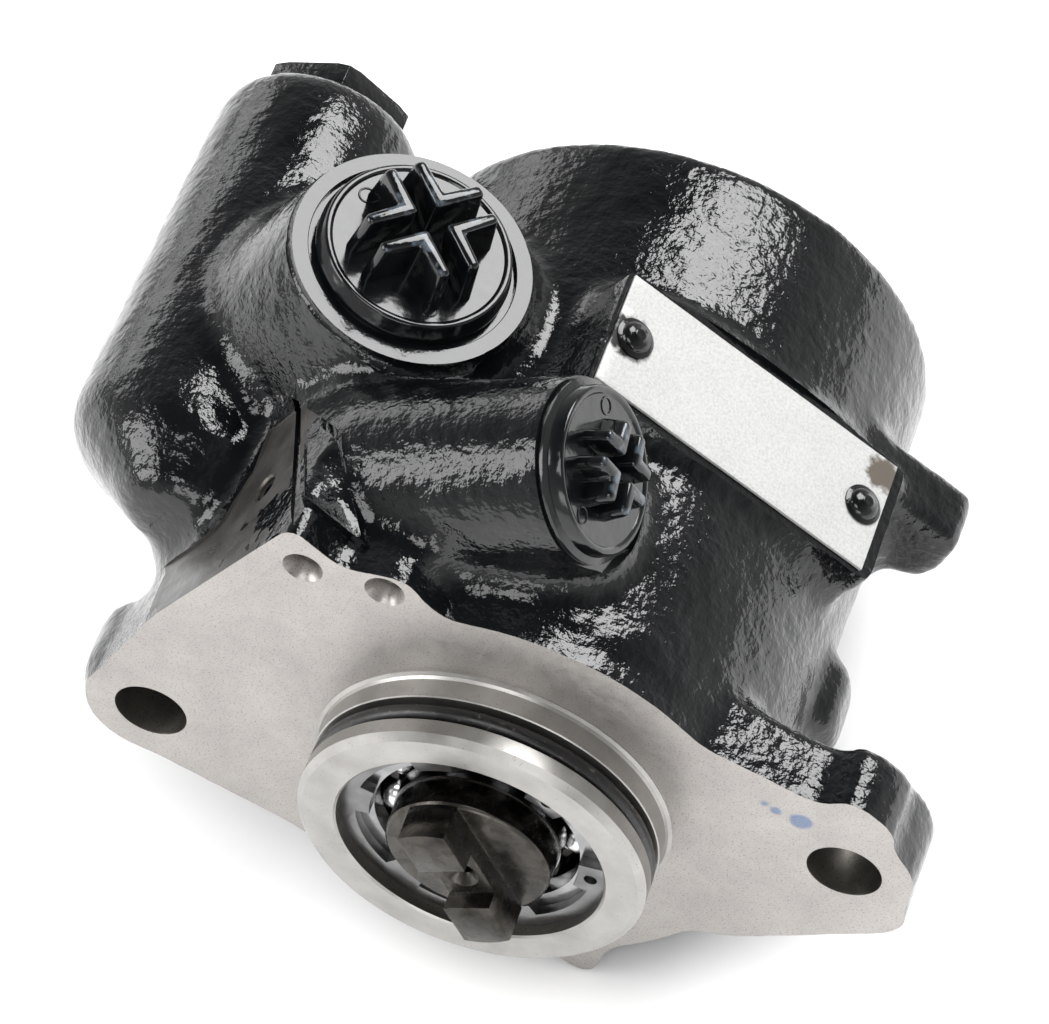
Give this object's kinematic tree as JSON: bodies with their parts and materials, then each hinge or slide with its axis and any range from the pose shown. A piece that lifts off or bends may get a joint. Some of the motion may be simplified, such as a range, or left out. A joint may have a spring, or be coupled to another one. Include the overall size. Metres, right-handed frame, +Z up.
{
  "type": "power steering pump",
  "caption": "Flange-mounted hydraulic vane pump with a tanged drive shaft, flow-control valve and two plugged ports, in black painted cast iron.",
  "frame": {"origin": "where the drive axis meets the machined mounting face", "axes": "+X along the line of the two flange bolt holes, +Y back along the pump from the drive end, +Z up towards the suction port"},
  "size_m": [0.1696, 0.147, 0.1309],
  "materials": {
    "black_paint": "gloss black paint on rough-cast iron",
    "machined_iron": "fine machined",
    "dark_steel": "oiled, ground",
    "bright_steel": "polished",
    "spring_steel": "phosphated",
    "black_rubber": "satin",
    "black_plastic": "moulded gloss",
    "bearing_bronze": "satin",
    "plain_plate": "bare satin sheet",
    "black_rivet": "gloss black"
  },
  "bodies": {
    "housing": {"housing": "black_paint", "rear_cover": "machined_iron", "rear_cover_o_ring": "black_rubber", "rear_cover_ring": "spring_steel", "front_port_plate": "machined_iron", "rear_port_plate": "machined_iron", "cam_ring": "dark_steel", "locating_pins": "dark_steel", "plate_spring": "spring_steel", "front_plate_o_ring": "black_rubber", "rear_plate_o_ring": "black_rubber", "bearing_outer_ring": "bright_steel", "bearing_retaining_ring": "spring_steel", "shaft_seal_case": "dark_steel", "shaft_seal_lip": "black_rubber", "seal_garter_spring": "spring_steel", "front_bush": "bearing_bronze", "rear_bush": "bearing_bronze", "pilot_o_ring": "black_rubber", "ball_plugs": "bright_steel", "gallery_screw": "dark_steel", "name_plate": "plain_plate", "name_plate_rivets": "black_rivet", "valve_plug": "dark_steel", "valve_plug_seal": "black_rubber", "spool_spring": "spring_steel"},
    "shaft": {"drive_shaft": "dark_steel", "bearing_inner_ring": "bright_steel", "shaft_circlip": "spring_steel", "rotor": "dark_steel"},
    "cage": {"bearing_balls": "bright_steel", "bearing_cage": "spring_steel"},
    "vane_1": {"vane_1": "bright_steel"},
    "vane_2": {"vane_2": "bright_steel"},
    "vane_3": {"vane_3": "bright_steel"},
    "vane_4": {"vane_4": "bright_steel"},
    "vane_5": {"vane_5": "bright_steel"},
    "vane_6": {"vane_6": "bright_steel"},
    "vane_7": {"vane_7": "bright_steel"},
    "vane_8": {"vane_8": "bright_steel"},
    "vane_9": {"vane_9": "bright_steel"},
    "vane_10": {"vane_10": "bright_steel"},
    "spool": {"flow_control_spool": "dark_steel", "relief_seat": "dark_steel", "relief_spring": "spring_steel"},
    "relief_ball": {"relief_ball": "bright_steel"},
    "inlet_plug": {"inlet_transit_plug": "black_plastic", "inlet_plug_gasket": "black_rubber"},
    "outlet_plug": {"outlet_transit_plug": "black_plastic", "outlet_plug_gasket": "black_rubber"}
  },
  "joints": [
    {"name": "shaft_spin", "type": "hinge", "parent": "housing", "child": "shaft", "pos_m": [0, 0, 0], "axis": [0, 1, 0], "continuous": true},
    {"name": "cage_spin", "type": "hinge", "parent": "housing", "child": "cage", "pos_m": [0, 0, 0], "axis": [0, 1, 0], "continuous": true},
    {"name": "vane_1_slide", "type": "slide", "parent": "shaft", "child": "vane_1", "axis": [0.9903, 0, 0.1392], "range_m": [0, 0.00395]},
    {"name": "vane_2_slide", "type": "slide", "parent": "shaft", "child": "vane_2", "axis": [0.7193, 0, 0.6947], "range_m": [0, 0.00249]},
    {"name": "vane_3_slide", "type": "slide", "parent": "shaft", "child": "vane_3", "axis": [0.1736, 0, 0.9848], "range_m": [0, 0.0006715]},
    {"name": "vane_4_slide", "type": "slide", "parent": "shaft", "child": "vane_4", "axis": [-0.4384, 0, 0.8988], "range_m": [0, 0.0006715]},
    {"name": "vane_5_slide", "type": "slide", "parent": "shaft", "child": "vane_5", "axis": [-0.8829, 0, 0.4695], "range_m": [0, 0.00249]},
    {"name": "vane_6_slide", "type": "slide", "parent": "shaft", "child": "vane_6", "axis": [-0.9903, 0, -0.1392], "range_m": [0, 0.00395]},
    {"name": "vane_7_slide", "type": "slide", "parent": "shaft", "child": "vane_7", "axis": [-0.7193, 0, -0.6947], "range_m": [0, 0.00249]},
    {"name": "vane_8_slide", "type": "slide", "parent": "shaft", "child": "vane_8", "axis": [-0.1736, 0, -0.9848], "range_m": [0, 0.0006715]},
    {"name": "vane_9_slide", "type": "slide", "parent": "shaft", "child": "vane_9", "axis": [0.4384, 0, -0.8988], "range_m": [0, 0.0006715]},
    {"name": "vane_10_slide", "type": "slide", "parent": "shaft", "child": "vane_10", "axis": [0.8829, 0, -0.4695], "range_m": [0, 0.00249]},
    {"name": "spool_slide", "type": "slide", "parent": "housing", "child": "spool", "axis": [0, 1, 0], "range_m": [0, 0.011], "stiffness_N_per_m": 4000, "springref_m": -0.004, "deforming": ["spool_spring"]},
    {"name": "relief_lift", "type": "slide", "parent": "spool", "child": "relief_ball", "axis": [0, -1, 0], "range_m": [0, 0.0012], "stiffness_N_per_m": 2000, "springref_m": -0.002, "deforming": ["relief_spring"]},
    {"name": "inlet_plug_pull", "type": "slide", "parent": "housing", "child": "inlet_plug", "axis": [0.3469, 0, 0.9379], "range_m": [0, 0.02]},
    {"name": "outlet_plug_pull", "type": "slide", "parent": "housing", "child": "outlet_plug", "axis": [0.9135, 0, 0.4067], "range_m": [0, 0.02]}
  ],
  "couplings": [
    {"joint": "cage_spin", "follows": "shaft_spin", "ratio": 0.3851},
    {"joint": "vane_2_slide", "follows": "vane_1_slide", "ratio": 0.63},
    {"joint": "vane_3_slide", "follows": "vane_1_slide", "ratio": 0.17},
    {"joint": "vane_4_slide", "follows": "vane_1_slide", "ratio": 0.17},
    {"joint": "vane_5_slide", "follows": "vane_1_slide", "ratio": 0.63},
    {"joint": "vane_6_slide", "follows": "vane_1_slide", "ratio": 1},
    {"joint": "vane_7_slide", "follows": "vane_1_slide", "ratio": 0.63},
    {"joint": "vane_8_slide", "follows": "vane_1_slide", "ratio": 0.17},
    {"joint": "vane_9_slide", "follows": "vane_1_slide", "ratio": 0.17},
    {"joint": "vane_10_slide", "follows": "vane_1_slide", "ratio": 0.63}
  ]
}
